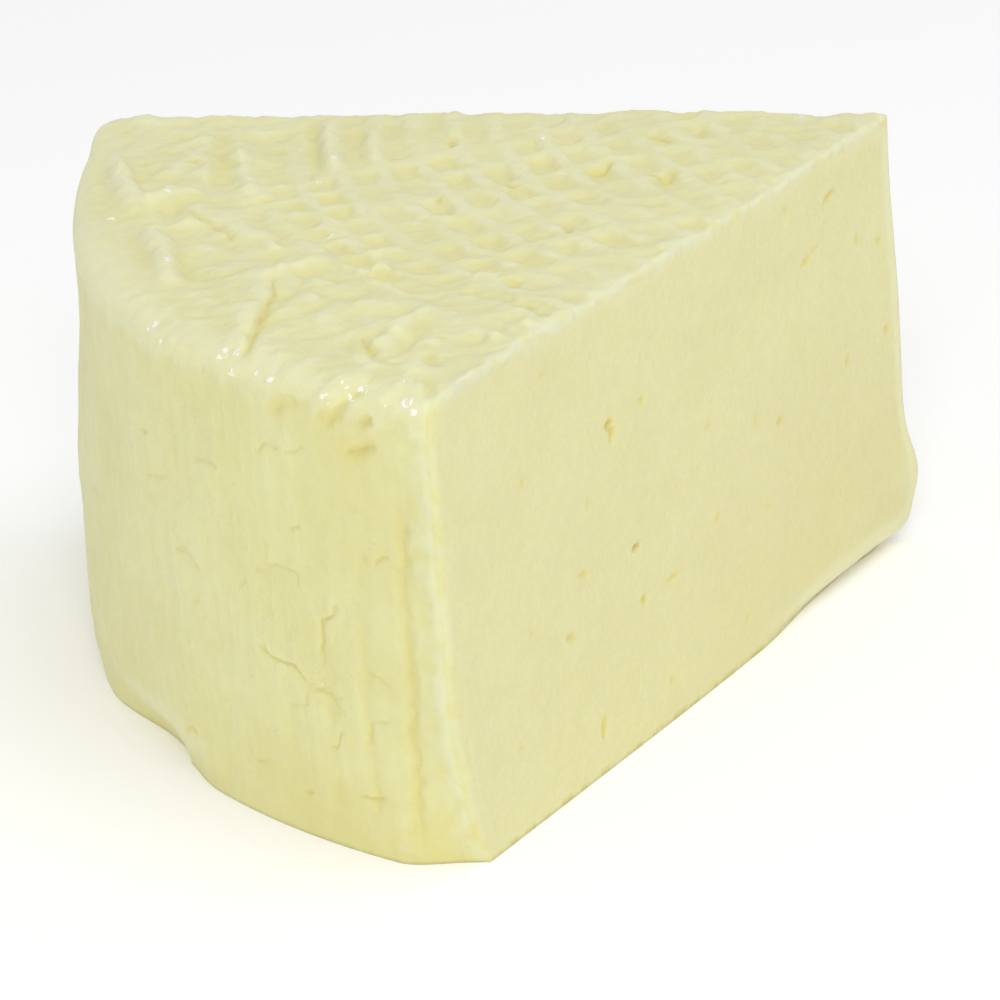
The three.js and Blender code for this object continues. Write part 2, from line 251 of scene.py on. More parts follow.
# Creases, cracks and pin holes on the plan: path, depth, half width.
TOP_CREASES = [
    ([(-98.5, -8), (-101, -13), (-104, -19)], 0.3, 1.2),
    ([(-103.5, -20), (-106, -25.5), (-111, -34.2), (-118, -46.5)], 0.4, 0.42),
    ([(-103.2, 17), (-102.2, 10), (-101.6, 3), (-102, -1)], 0.5, 0.55),
    ([(-101, 47), (-103.8, 34), (-106, 25)], 0.5, 0.7),
    ([(-83.5, 54), (-87.5, 44), (-91, 34), (-94.5, 22)], 0.5, 1.6),
    ([(-71.5, 47), (-76.5, 34), (-80, 24)], 0.5, 0.9),
    ([(-97.4, 39), (-92.6, 37)], 0.4, 0.6),
    ([(-109.5, 1), (-111.5, -6), (-113.3, -13.8)], 0.5, 0.8),
    ([(-105.5, -21.5), (-102, -19.8), (-97.5, -19)], 0.3, 0.9),
    ([(-102, -46), (-102.5, -50), (-102.9, -54)], 0.6, 0.6),
    ([(-101.5, -56), (-97, -50.8), (-92, -45.4)], 0.5, 0.9),
    ([(-97, -56.6), (-97.7, -59.5), (-98.3, -63)], 0.5, 0.7),
    ([(-104, -59), (-106.5, -61.5), (-108.5, -63)], 0.8, 0.9),
    ([(-88, -27), (-84.5, -34), (-80.5, -44), (-78.5, -52)], 0.4, 0.7),
    ([(-71, 18), (-72, 12), (-73.5, 6)], 0.3, 0.6),
    ([(-58.6, 25.2), (-59.5, 22)], 0.7, 0.6),
    ([(-48, 0), (-45.6, 0), (-44, 1.9)], 0.9, 0.7),
    ([(-42.3, -9.9), (-40.5, -9.2), (-38.3, -6.3)], 0.8, 0.7),
    ([(-41.7, -5.6), (-41.2, -9)], 0.6, 0.5),
    ([(-34.8, 9.4), (-33, 5)], 0.7, 0.6),
    ([(-28.6, 4.9), (-27, 8)], 0.8, 0.6),
    ([(-71.8, 0), (-69.8, 2)], 0.6, 0.6),
    ([(-60.2, 3), (-59.3, 0.3)], 0.6, 0.6),
    ([(-77.4, -39.8), (-75.9, -36.5)], 0.7, 0.6),
    ([(-62.3, -24.5), (-60.8, -20)], 0.6, 0.5),
    ([(-78.9, -54.2), (-78.3, -50.5)], 0.6, 0.7),
    ([(-97.8, -21.8), (-95.6, -23.8)], 0.4, 0.6),
    ([(-93.6, 13.5), (-90.8, 14)], 0.6, 0.8),
    ([(-67.2, -31), (-64.5, -29.6), (-63, -27.2)], 0.35, 0.6),
    ([(-36.2, -15.2), (-33.2, -13.8)], 0.3, 0.6),
]
# Edges of the folded cloth, each a step down to its left: path, drop, how far the step reaches back.
TOP_STEPS = [
    ([(-82.5, 58.5), (-86.3, 48), (-90.2, 38), (-94.2, 29), (-97.3, 23)], 0.5, 6),
    ([(-99, -8), (-103.4, -18), (-105.8, -25), (-110.9, -34), (-118, -46.5)], 0.6, 6),
]
# Folds and rounded bumps of curd that stand up beside them: path, height, half width.
TOP_FOLDS = [
    ([(-101, 53), (-104.5, 40), (-107, 28), (-108.7, 19)], 1.28, 2.2),
    ([(-84, 43), (-87.5, 34), (-91, 24), (-92.7, 15.5)], 0.96, 1.2),
    ([(-69.5, 46), (-74, 35), (-76.5, 28), (-78.7, 21)], 1.12, 1.3),
    ([(-66, 37), (-69.5, 29), (-72.3, 21)], 0.64, 1),
    ([(-109.8, 14), (-111.5, 3), (-113.5, -6), (-119, -15)], 1.44, 1.8),
    ([(-108, 20), (-104.5, 22), (-102, 24.3), (-97.5, 23)], 1.6, 1.8),
    ([(-104, -18), (-98.5, -16.8), (-93, -15)], 0.96, 1.6),
    ([(-93, -15.5), (-92.3, -25), (-91, -35)], 0.48, 0.8),
    ([(-102, -51.8), (-97.2, -47), (-90, -41.6)], 0.8, 1.3),
    ([(-111, -61.5), (-107, -57), (-104.5, -53)], 1.28, 2.3),
    ([(-96.8, -54.6), (-94.5, -52.6)], 0.96, 1.4),
    ([(-98.5, -4), (-98.2, -8)], 0.8, 1),
    ([(-90, -16.5), (-83.5, -17.2)], 0.8, 1.2),
    ([(-90.5, -22), (-88.2, -23)], 0.8, 1.2),
    ([(-103.5, -65.5), (-99.5, -59)], 0.8, 1.8),
    ([(-88.4, -56.4), (-86.4, -55.8)], 0.72, 1.3),
    ([(-83.4, -55.6), (-81.2, -54.8)], 0.72, 1.2),
    ([(-79.5, -32), (-77.2, -34.8)], 0.48, 1.4),
]


def imprint(x, y):
    """Share of the full depth of the mat's cell at each place; far along, only its columns show."""
    drift = COLUMN_LEAN * y + COLUMN_BEND * y * y
    column = (x + COLUMN_START - drift) / COLUMN_PITCH + 0.05 * lumps(x, y, 0.0, 14.0, 2)
    row = np.where(x < ROW_CHANGE, (y - ROW_START_RIM) / ROW_PITCH_RIM, (y - ROW_START) / ROW_PITCH)
    row = row + 0.06 * lumps(x, y, 40.0, 13.0, 2)
    across = np.abs(column - np.round(column)) + 0.1 * lumps(x, y, 17.0, 3.0, 2)
    down = np.abs(row - np.round(row)) + 0.08 * lumps(x, y, 27.0, 3.0, 2)
    row_gap = smooth(down, 0.2, 0.45) * (1 - 0.6 * smooth(y, 18, 28))
    cell = (1 - smooth(across, 0.14, 0.4)) * (1 - row_gap)
    pressed = np.full(np.shape(x), LEAST_PRESSED)
    for px, py, half_x, half_y in PRESSED:
        pressed = np.maximum(pressed, hill(np.hypot((x - px) / half_x, (y - py) / half_y), 1.2))
    pressed = pressed * (1 - 0.4 * smooth(y, 16, 26)) * (1 - 0.35 * smooth(-y, 26, 40))
    pressed = pressed * (1 - 0.3 * smooth(x, -44, -28))
    change = np.clip(0.85 + 0.9 * lumps(np.round(column) * 7.3, np.round(row) * 5.1, 3.0, 4.0), 0.25, 1.25)
    from_centre = np.hypot(x - WHEEL_CENTRE[0], y - WHEEL_CENTRE[1]) + 5 * lumps(x, y, 9.0, 22.0)
    return cell * change * pressed * (1 - smooth(from_centre, MAT_RADIUS - MAT_FADE, MAT_RADIUS))


def drawn(x, y):
    """Places on the top shifted a little, so that lines drawn through them waver."""
    shift_x, shift_y = lumps(x, y, 3.0, LINE_WAVER_SIZE, 2), lumps(x, y, 60.0, LINE_WAVER_SIZE, 2)
    return x + LINE_WAVER * shift_x, y + LINE_WAVER * shift_y


def top_relief(x, y):
    """Height of the top, and how deep into a hollow each place lies, from 0 to 1."""
    sag = BACK_SAG * smooth(-x, 35, 95) * smooth(y, 0, 60)
    rise = BACK_RISE * hill(x + 21, 12) * smooth(y, 0, 12)
    wave = TOP_WAVE * np.sin(x / 7.5 + 0.6 * np.sin(y / 8)) * np.sin(y / 9.5 + 0.8)
    cells = imprint(x, y)
    relief = wave - CELL_DEPTH * cells
    hollow = CELL_WHEY * cells
    drawn_x, drawn_y = drawn(x, y)
    for path, height, width in TOP_FOLDS:
        away, along = beside(path, drawn_x, drawn_y)
        relief = relief + height * faded(along, 0.2, 0.8) * hill(away, width)
    for path, drop, back in TOP_STEPS:
        away, along = beside(path, drawn_x, drawn_y)
        step = smooth(-away, -0.6, 0.6) * hill(np.minimum(away, 0), back)
        relief = relief + drop * faded(along, 0.3, 0.8, 0) * step
    for path, depth, width in TOP_CREASES:
        away, along = beside(path, drawn_x, drawn_y)
        crease = faded(along, 0.2, 0.8) * hill(away, width)
        relief = relief - depth * crease
        hollow = np.maximum(hollow, min(MOST_CREASE_WHEY, CREASE_WHEY * depth / width) * crease)
    from_centre = np.hypot(x - WHEEL_CENTRE[0], y - WHEEL_CENTRE[1])
    band = smooth(from_centre, MAT_RADIUS - 14, MAT_RADIUS + 4)
    crumple = CRUMPLE * np.abs(lumps(x, y, 30.0, 8.0, 2)) - CRUMPLE_SINK
    grain = GRAIN * lumps(x, y, 70.0, 3.2, 2) + FINE_GRAIN * lumps(x, y, 90.0, 1.6)
    relief = relief + band * crumple + (1 + 0.5 * band) * grain
    angle = np.arctan2(-y, -x)
    to_edge = reach(angle) - rim_inset(angle, HEIGHT) - shoulder(angle) - np.hypot(x, y)
    flat_edge = smooth(to_edge, 0, EDGE_FADE)
    return HEIGHT - sag + rise + relief * flat_edge, hollow * flat_edge


# The knife cuts: two flat faces that meet at the wedge's point, each drawn through the set curd in one
# stroke. The point leans in above, bulges low down and is worn round at its foot, and small whey holes are
# cut open.
POINT_LEAN, POINT_BULGE = 0.8, 2.1
BULGE_HEIGHT, BULGE_SPREAD = 11, 5.5
POINT_FOOT, CUT_TUCK = 6, 1.2
CUT_WAVE, CUT_GRAIN = 0.22, 0.05
HOLE_DEPTH, HOLE_RAGGED = 0.75, 0.45
# Whey in a hole: in the shallowest, and in the deepest.
LEAST_HOLE_WHEY, MOST_HOLE_WHEY = 0.5, 1.2
# Holes in the front cut: from the point, height, half length, half height, depth, tilt in degrees.
FRONT_HOLES = [
    (84.1, 48, 1.1, 0.8, 0.8, 10), (83.5, 46.2, 0.8, 0.65, 0.9, -20), (83.8, 47.2, 0.7, 1.3, 0.3, 0),
    (78.7, 28.3, 1.5, 0.42, 1, 5), (78, 20.4, 0.8, 0.7, 0.5, 20), (97.2, 22.6, 1, 0.7, 0.5, 15),
    (90, 6.6, 0.8, 1.7, 0.5, 12), (70.3, 20.9, 2, 0.45, 0.35, 0), (20.3, 59.7, 2.6, 0.55, 0.45, -12),
    (28.3, 52.5, 1.4, 0.7, 0.4, -10), (25.4, 53.4, 1, 0.5, 0.3, 0), (17.6, 33.9, 0.7, 0.6, 0.35, 0),
    (38.2, 32.1, 0.9, 0.7, 0.45, 0), (58.4, 38.6, 1.2, 0.45, 0.25, 0), (75.6, 48.4, 1, 0.55, 0.4, 0),
    (93.2, 30, 1.1, 0.6, 0.35, 15), (106.7, 48, 0.7, 0.6, 0.25, 0), (71.8, 6.1, 0.7, 0.7, 0.35, 0),
    (111, 12.2, 0.7, 0.7, 0.25, 0), (5.4, 34.6, 1, 0.8, 0.35, 0), (6.4, 48.5, 1.2, 0.6, 0.35, 20),
    (12.6, 50.6, 0.9, 0.9, 0.25, 0), (43, 21, 1.1, 0.5, 0.2, 25), (57, 24.6, 1, 0.7, 0.2, 0),
    (100, 60.5, 0.8, 0.6, 0.2, 0), (50.5, 7, 0.9, 0.7, 0.2, 0), (45, 34.6, 0.6, 0.8, 0.2, 0),
    (90.8, 39.4, 0.9, 0.5, 0.2, 0), (33.5, 61.6, 0.9, 0.6, 0.2, 0), (107, 27, 0.8, 0.5, 0.2, 30),
]
# The cut at the back has holes like them, drawn at random: largest half length, half height and depth.
BACK_HOLE_SIZES = (1.8, 0.9, 0.6)
BACK_HOLE_COUNT = 24
hole_draw = np.random.default_rng(21)
BACK_HOLES = []
for _ in range(BACK_HOLE_COUNT):
    hole_place = hole_draw.uniform(8, 108), hole_draw.uniform(5, 60)
    hole_size = hole_draw.uniform(0.3, 1, 3) * BACK_HOLE_SIZES
    BACK_HOLES.append((*hole_place, *hole_size, hole_draw.uniform(-40, 40)))


def point_shift(z):
    """Shift of the wedge's point towards the rim."""
    lean = POINT_LEAN * smooth(z, 35, 60)
    bulge = POINT_BULGE * hill(z - BULGE_HEIGHT, BULGE_SPREAD)
    worn = POINT_FOOT * (1 - smooth(z, 0, 4.5)) ** 2
    return lean - bulge + worn


def cut_relief(along, z, holes):
    """Depth into a knife cut, and how deep into a hole each place lies, from 0 to 1."""
    depth = CUT_WAVE * lumps(along, z, 11.0, 17.0, 2) + CUT_GRAIN * lumps(along, z, 17.0, 3.0, 2)
    hollow = np.zeros(np.shape(depth))
    for from_point, height, half_length, half_height, deep, tilt in holes:
        turn = math.radians(tilt)
        u, v = along - from_point, z - height
        over = (u * math.cos(turn) + v * math.sin(turn)) / half_length
        upward = (v * math.cos(turn) - u * math.sin(turn)) / half_height
        gap = np.hypot(over, upward) + HOLE_RAGGED * lumps(along, z, from_point, 0.9, 2)
        hole = 1 - smooth(gap, 0.4, 1.25)
        depth = depth + HOLE_DEPTH * deep * hole
        hollow = np.maximum(hollow, hole * min(MOST_HOLE_WHEY, LEAST_HOLE_WHEY + deep))
    return depth, hollow


# The whole wedge: one closed skin over top, rim, cuts and flat base, of moist pale curd in one piece.
# It is meshed in rows from the point to the rim and in levels up the wall, then its knife edges are softened.
ROWS = 208
RIM_STEPS = 260
WALL_STEPS, SHOULDER_STEPS = 98, 14
FRONT_STEPS, BACK_STEPS = 250, 80
FRONT_CLOSER = 0.55
CUT_TOP_MARGIN = 0.6
BASE_LAYER, SHADED_FROM = 0.01, 1.5
EDGE_PASSES, EDGE_PULL, EDGE_SHARES = 10, 0.5, (0.9, 0.6, 0.3)
RIND_WIDTH, RIND_LUMP = 1.1, 0.3
CORNER_RIND, CORNER_RIND_IN, CORNER_RIND_WIDTH = 0.55, 1.2, 2.31
SECTION_RIND, SECTION_RIND_WIDTH = 0.5, 0.66
POINT_AT = (61.1, 2.5, 0)
TOP_LEVEL = WALL_STEPS + SHOULDER_STEPS
FRONT, BACK = HALF_ANGLE, -HALF_ANGLE


def fan(steps):
    """Directions from the front cut to the back one, closer together at the front."""
    way = np.linspace(0, 1, steps + 1)
    return FRONT + (BACK - FRONT) * way * (FRONT_CLOSER + (1 - FRONT_CLOSER) * way)


def wall_step(angle, step):
    """Height and inset of the rim at a step: up the wall, then round the shoulder."""
    bend = shoulder(angle)
    drop = SHOULDER_DROP * bend
    way = np.clip((step - WALL_STEPS) / SHOULDER_STEPS, 0, 1)
    z = (HEIGHT - drop) * np.minimum(step / WALL_STEPS, 1) + drop * np.interp(way, profile_ways, profile_up)
    return z, rim_inset(angle, z) + bend * np.interp(way, profile_ways, profile_in)


def place(share, angle, step):
    """A place on a level, a share of the way from the wedge's point to the rim."""
    z, inset = wall_step(angle, step)
    relief, hollow = rim_relief(angle, z)
    far = reach(angle) - inset + np.where(step > 0, relief, 0)
    shift = point_shift(z) * (1 - share) ** 4
    return -np.cos(angle) * share * far - shift, -np.sin(angle) * share * far, z, hollow


points, hollows, cuts, rinds = [], [], [], []


def add(x, y, z, hollow, cut, rind=0):
    """Adds points and gives their numbers."""
    first = sum(len(p) for p in points)
    points.append(np.stack([x, y, z], 1))
    for kept, value in ((hollows, hollow), (cuts, cut), (rinds, rind)):
        kept.append(np.broadcast_to(float(value) if np.isscalar(value) else value, np.shape(x)))
    return list(range(first, first + len(x)))


faces = []


def zip_rows(low, high):
    """Joins two rows of points into a strip of triangles; the rows may have different counts."""
    i = j = 0
    while i + 1 < len(low) or j + 1 < len(high):
        next_low = (i + 1) / max(1, len(low) - 1)
        next_high = (j + 1) / max(1, len(high) - 1)
        if j + 1 >= len(high) or (i + 1 < len(low) and next_low <= next_high):
            faces.append((low[i], high[j], low[i + 1]))
            i += 1
        else:
            faces.append((low[i], high[j], high[j + 1]))
            j += 1


shares, angles, counts = [], [], []
for i in range(ROWS + 1):
    steps = max(1, round(i / ROWS * RIM_STEPS)) if i else 0
    shares.append(np.full(steps + 1, i / ROWS))
    angles.append(fan(steps))
    counts.append(steps + 1)
top_share, top_angle = np.concatenate(shares), np.concatenate(angles)
top_x, top_y, _, _ = place(top_share, top_angle, np.full_like(top_share, TOP_LEVEL))
top_z, top_hollow = top_relief(top_x, top_y)
from_point = np.hypot(top_x, top_y)
to_cut = from_point * np.sin(np.minimum(FRONT - top_angle, top_angle - BACK))
numbers = add(top_x, top_y, top_z, top_hollow, 0, hill(to_cut, RIND_WIDTH))
rows, start = [], 0
for count in counts:
    rows.append(numbers[start : start + count])
    start += count
for inner, outer in zip(rows, rows[1:]):
    zip_rows(outer, inner)


def wall_grid(share, angle):
    """Places of a stretch of the wall at every level below the top, one row of the grid for each level."""
    step = np.arange(TOP_LEVEL, dtype=float)[:, None] + np.zeros(len(share))
    share, angle = np.broadcast_to(share, step.shape), np.broadcast_to(angle, step.shape)
    x, y, z, hollow = place(share, angle, step)
    edge_x, edge_y, _, _ = place(np.ones(step.shape[1]), angle[0], np.full(step.shape[1], float(TOP_LEVEL)))
    at_rim = z * top_relief(edge_x, edge_y)[0] / HEIGHT
    on_cut = (HEIGHT - CUT_TOP_MARGIN) * step / (TOP_LEVEL - 1)
    level = on_cut + (at_rim - on_cut) * smooth(share, 0.82, 1)
    x = x - (point_shift(level) - point_shift(z)) * (1 - share) ** 4
    return x, y, level, hollow


def cut_grid(share, angle, holes):
    """A knife cut's own grid, with its holes and slight waves sunk into it, and the rind paler in section."""
    x, y, z, _ = wall_grid(share, np.full(len(share), angle))
    along = np.hypot(x, y)
    depth, hollow = cut_relief(along, z, holes)
    inside = smooth(share, 0, 0.02) * (1 - smooth(share, 0.985, 1))
    inside = inside * smooth(z, 0, 1.5) * (1 - smooth(z, HEIGHT - 2, HEIGHT))
    depth, side = depth * inside, math.copysign(1, angle)
    if side > 0:
        tucked = smooth(share, 0.02, 0.1) * (1 - smooth(share, 0.2, 0.38)) * (1 - smooth(z, 0, 4))
        depth = depth + CUT_TUCK * tucked
    to_rim = along.max(1, keepdims=True) - along
    rind = SECTION_RIND * hill(to_rim, SECTION_RIND_WIDTH)
    rind = np.maximum(rind, hill(HEIGHT - 0.5 - z, RIND_WIDTH))
    return x - depth * abs(math.sin(angle)), y + depth * side * math.cos(angle), z, hollow * inside, rind


front_grid = cut_grid(np.linspace(0, 1, FRONT_STEPS + 1), FRONT, FRONT_HOLES)
rim_grid = wall_grid(np.ones(RIM_STEPS + 1), fan(RIM_STEPS))
back_grid = cut_grid(np.linspace(1, 0, BACK_STEPS + 1), BACK, BACK_HOLES)
from_corner = WHEEL_RADIUS * (HALF_ANGLE - np.abs(fan(RIM_STEPS)))
corner_rind = CORNER_RIND * hill(from_corner - CORNER_RIND_IN, CORNER_RIND_WIDTH)
levels = []
for k in range(TOP_LEVEL):
    front_x, front_y, front_z, front_hollow, front_rind = (g[k] for g in front_grid)
    front = add(front_x, front_y, front_z, front_hollow, 1, front_rind)
    rim = [front[-1]] + add(*(g[k][1:] for g in rim_grid), 0, corner_rind[1:])
    back_x, back_y, back_z, back_hollow, back_rind = (g[k][1:-1] for g in back_grid)
    back = [rim[-1]] + add(back_x, back_y, back_z, back_hollow, 1, back_rind) + [front[0]]
    levels.append((front, rim, back))
levels.append(([row[0] for row in rows], rows[-1], [row[-1] for row in rows][::-1]))
for lower, upper in zip(levels, levels[1:]):
    for low, high in zip(lower, upper):
        zip_rows(low, high)
base = levels[0][0] + levels[0][1][1:] + levels[0][2][1:-1]
points, hollows, cuts, rinds = (np.concatenate(kept) for kept in (points, hollows, cuts, rinds))

# Knife edges are softened by drawing the points on and beside them towards their neighbours.
edge_points = set(levels[-1][0]) | set(levels[-1][2])
for front, rim, back in levels:
    edge_points |= {front[0], front[-1], back[0]}
triangles = np.array(faces)
pairs = np.concatenate([triangles[:, [0, 1]], triangles[:, [1, 2]], triangles[:, [2, 0]]])
pairs = np.concatenate([pairs, pairs[:, ::-1]])
degree_of = np.bincount(pairs[:, 0], minlength=len(points))


def beside_mean(values):
    """Mean of each point's neighbours."""
    sums = [np.bincount(pairs[:, 0], column, len(points)) for column in values[pairs[:, 1]].T]
    return np.stack(sums, 1) / degree_of[:, None]


softness = np.zeros((len(points), 1))
softness[list(edge_points)] = 1
for share in EDGE_SHARES:
    softness = np.maximum(softness, share * (beside_mean(softness) > 0))
softness[points[:, 2] < BASE_LAYER] = 0
for _ in range(EDGE_PASSES):
    points = points + EDGE_PULL * softness * (beside_mean(points) - points)

# The shoulder is lumpy where the cloth was gathered and torn near the front, and has white flecks painted on
# as glints. It is measured unrolled, in degrees from the bisector and in millimetres down from the top's
# edge.
SHOULDER_LUMP = 0.3
SHOULDER_WHEY, STAIN_WHEY = 0.5, 0.45
# Creases: path, depth, half width.
SHOULDER_CREASES = [
    ([(15.5, -8), (17.3, -3.5), (18.9, 0), (20.4, 3.8)], 0.5, 0.45),
    ([(29.9, 3.5), (28.9, 6.5), (27.4, 9.8)], 0.6, 0.8),
    ([(23, 9.8), (23.9, 7.6), (25.4, 6.8)], 0.35, 0.7),
    ([(28.8, 12.4), (29.9, 11.6), (31.2, 10.3)], 0.6, 0.6),
    ([(29.3, 13), (30.4, 11.2)], 0.5, 0.7),
    ([(30.1, 8.2), (31.2, 7.2)], 0.6, 0.6),
    ([(33.3, -1.5), (34.1, 1.5), (34.6, 3.8)], 0.4, 0.6),
]
# Low folds between them: path, height, half width.
SHOULDER_FOLDS = [
    ([(13.8, -8), (17.6, 0), (19.2, 3)], 0.35, 1.3),
    ([(29.6, -4), (29, 2), (26.8, 7.5)], 0.5, 1.5),
    ([(31.4, -3), (32.2, 3), (31.8, 6)], 0.4, 1.4),
    ([(25, -2), (24.6, 3), (23.4, 6)], 0.25, 1.6),
]
# Yellow stains where whey stood in the torn places: place on the shoulder and half width.
SHOULDER_STAINS = [(29.3, 12.2, 2.6), (30.4, 9.4, 1.4), (27.6, 8.2, 1.5), (23.6, 8.6, 1.6)]
# Glossy spots where white flecks are painted on as glints: place on the shoulder, or on the plan of the top,
# and half width.
SHOULDER_GLINT_SPOTS = [
    (10.6, 4.6, 0.8), (10.3, 3.6, 0.5), (12.4, 5.5, 0.5), (18.4, 4.1, 0.8), (19.2, 3.2, 0.6),
    (19.9, 5.6, 0.7), (21.7, 4.9, 0.4), (23.1, 5.4, 0.8), (27.8, 5.8, 0.6), (28.8, 3.8, 0.5),
    (29.5, 4.8, 0.7), (29.9, 3.6, 0.7), (31.8, 4.9, 0.4), (32.4, 0.8, 0.5), (33.2, 4.3, 0.7),
    (33.9, 5.3, 0.5), (2.8, -4.8, 0.6), (16.6, -3, 0.4),
]
TOP_GLINT_SPOTS = [
    (-103.2, 23, 1), (-102, 24.5, 0.8), (-112.5, 20, 0.6), (-82, 18.5, 0.6), (-48, 17, 0.6),
    (-12.3, 5.6, 0.8), (-113.3, -5.8, 0.6), (-89.7, -4.8, 0.5), (-75, -53.5, 0.7), (-77, 25, 0.5),
    (-95.5, -53.5, 0.5),
]


def outward_ways():
    """Outward direction at each point."""
    corners = points[triangles]
    slopes = np.cross(corners[:, 1] - corners[:, 0], corners[:, 2] - corners[:, 0])
    sums = [sum(np.bincount(triangles[:, c], slope, len(points)) for c in range(3)) for slope in slopes.T]
    ways = np.stack(sums, 1)
    return ways / np.linalg.norm(ways, axis=1, keepdims=True)


x, y, z = points.T
turned = np.arctan2(-y, -x)
bend = shoulder(turned)
from_wall = reach(turned) - rim_inset(turned, z) - np.hypot(x, y)
turn = np.arctan2(np.clip(z - HEIGHT + bend, 0, bend), np.clip(bend - from_wall, 0, bend))
down = bend * (np.pi / 2 - turn) + np.maximum(0, HEIGHT - bend - z) - np.maximum(0, from_wall - bend)
uneven = lumps(x, y, z, 2.2, 2)
arc, down = turned * WHEEL_RADIUS + 0.5 * uneven, down + 0.5 * lumps(x, y, z + 50, 2.2, 2)
degrees_round = arc / RIM_DEGREE
skin = (1 - cuts) * smooth(degrees_round, -35, -33) * (1 - smooth(degrees_round, 34.4, 35.2))
gathered = skin * smooth(down, -5, 1) * (1 - smooth(down, 7, 10)) * smooth(degrees_round, -8, 14)
raised = gathered * SHOULDER_LUMP * (lumps(x, y, z, 3.4, 2) + 0.3 * uneven)
raised = raised + RIND_LUMP * rinds * smooth(z, 0.5, 3) * lumps(x, y, z, 1.7, 2)
for path, depth, width in SHOULDER_CREASES:
    away, along = beside([(a * RIM_DEGREE, d) for a, d in path], arc, down)
    crease = skin * faded(along, 0.2, 0.8) * hill(away, width)
    raised = raised - depth * crease
    hollows = np.maximum(hollows, min(MOST_CREASE_WHEY, SHOULDER_WHEY * depth / width) * crease)
for path, fold_height, width in SHOULDER_FOLDS:
    away, along = beside([(a * RIM_DEGREE, d) for a, d in path], arc, down)
    raised = raised + fold_height * skin * faded(along, 0.2, 0.8) * hill(away, width)
for degrees, spot_down, width in SHOULDER_STAINS:
    stain = hill(np.hypot(arc - degrees * RIM_DEGREE, down - spot_down) + 0.6 * uneven, width)
    hollows = np.maximum(hollows, STAIN_WHEY * skin * stain)
# Painted glints: these spots get white flecks in the colour, as well as less roughness and a little bump.
painted_glint_spots = np.zeros(len(points))
for degrees, spot_down, width in SHOULDER_GLINT_SPOTS:
    painted_glint_spots = np.maximum(painted_glint_spots, skin * hill(np.hypot(arc - degrees * RIM_DEGREE, down - spot_down), width))
for spot_x, spot_y, width in TOP_GLINT_SPOTS:
    spot = hill(np.hypot(x - spot_x, y - spot_y) + 0.4 * uneven, width) * smooth(z, HEIGHT - 4, HEIGHT - 3)
    painted_glint_spots = np.maximum(painted_glint_spots, skin * spot)
painted_glint_spots = smooth(painted_glint_spots, 0.1, 0.5)
points = points + outward_ways() * raised[:, None]

# Thin torn lines along the cracks and creases are finer than the mesh, so it carries how far away the
# nearest one is and how far that one is torn open.
LINE_REACH = 1.2
TOP_TORN = 0.5
line_away, line_torn = np.full(len(points), 9.0), np.zeros(len(points))


def draw_line(path, u, v, torn, on):
    """Notes how far away and how open a torn line is, at the points nearer to it than to any before."""
    away, along = beside(path, u, v)
    nearer = on & (np.abs(away) < np.abs(line_away))
    shown = faded(along, 0.2, 0.8, 0) * (1 - smooth(np.abs(away), 0.7 * LINE_REACH, LINE_REACH))
    line_away[nearer] = away[nearer]
    line_torn[nearer] = (torn * shown)[nearer]


on_rim = (skin > 0.5) & (z < HEIGHT - 6)
on_top = (skin > 0.5) & (z > HEIGHT - 3)
rim_arc, rim_z = jagged(turned * WHEEL_RADIUS, z)
plan_x, plan_y = drawn(x, y)
for path, torn in RIM_CRACKS:
    draw_line([(a * RIM_DEGREE, h) for a, h in path], rim_arc, rim_z, torn, on_rim)
for (degrees, height), turn, half in zip(mark_places, mark_turns, mark_halves):
    along, rise = half * math.cos(turn), half * math.sin(turn)
    ends = [(degrees * RIM_DEGREE + way * along, height + way * rise) for way in (-1, 0, 1)]
    draw_line(ends, rim_arc, rim_z, MARK_TORN, on_rim)
for path, depth, width in TOP_CREASES:
    draw_line(path, plan_x, plan_y, TOP_TORN * float(smooth(depth / width, 0.8, 1)), on_top)

# Raised places paler (dry curd, and painted highlight) and sunk ones yellower (whey, and painted shade), by
# how far a point lies below those around it.
AROUND_PASSES, NEAR_EDGE_PASSES = 26, 6
around, near_edge = points, np.zeros((len(points), 1))
near_edge[list(edge_points)] = 1
for _ in range(AROUND_PASSES):
    around = beside_mean(around)
for _ in range(NEAR_EDGE_PASSES):
    near_edge = beside_mean(near_edge)
sunk = ((around - points) * outward_ways()).sum(1) * (1 - smooth(near_edge[:, 0], 0, 0.12))
sunk[points[:, 2] < SHADED_FROM] = 0

mesh = bpy.data.meshes.new("cheese_wedge_skin")
mesh.from_pydata((points + POINT_AT) / 1000, [], faces + [tuple(base)])
mesh.polygons.foreach_set("use_smooth", [True] * (len(mesh.polygons) - 1) + [False])
carries = {"hollow": hollows, "sunk": sunk, "cut": cuts, "rind": rinds, "painted_glint_spots": painted_glint_spots}
carries |= {"line_away": line_away, "line_torn": line_torn}
for name, values in carries.items():
    mesh.attributes.new(name, "FLOAT", "POINT").data.foreach_set("value", values.astype(np.float32))
mesh.update()
wedge = bpy.data.objects.new("cheese_wedge_skin", mesh)
bpy.context.scene.collection.objects.link(wedge)


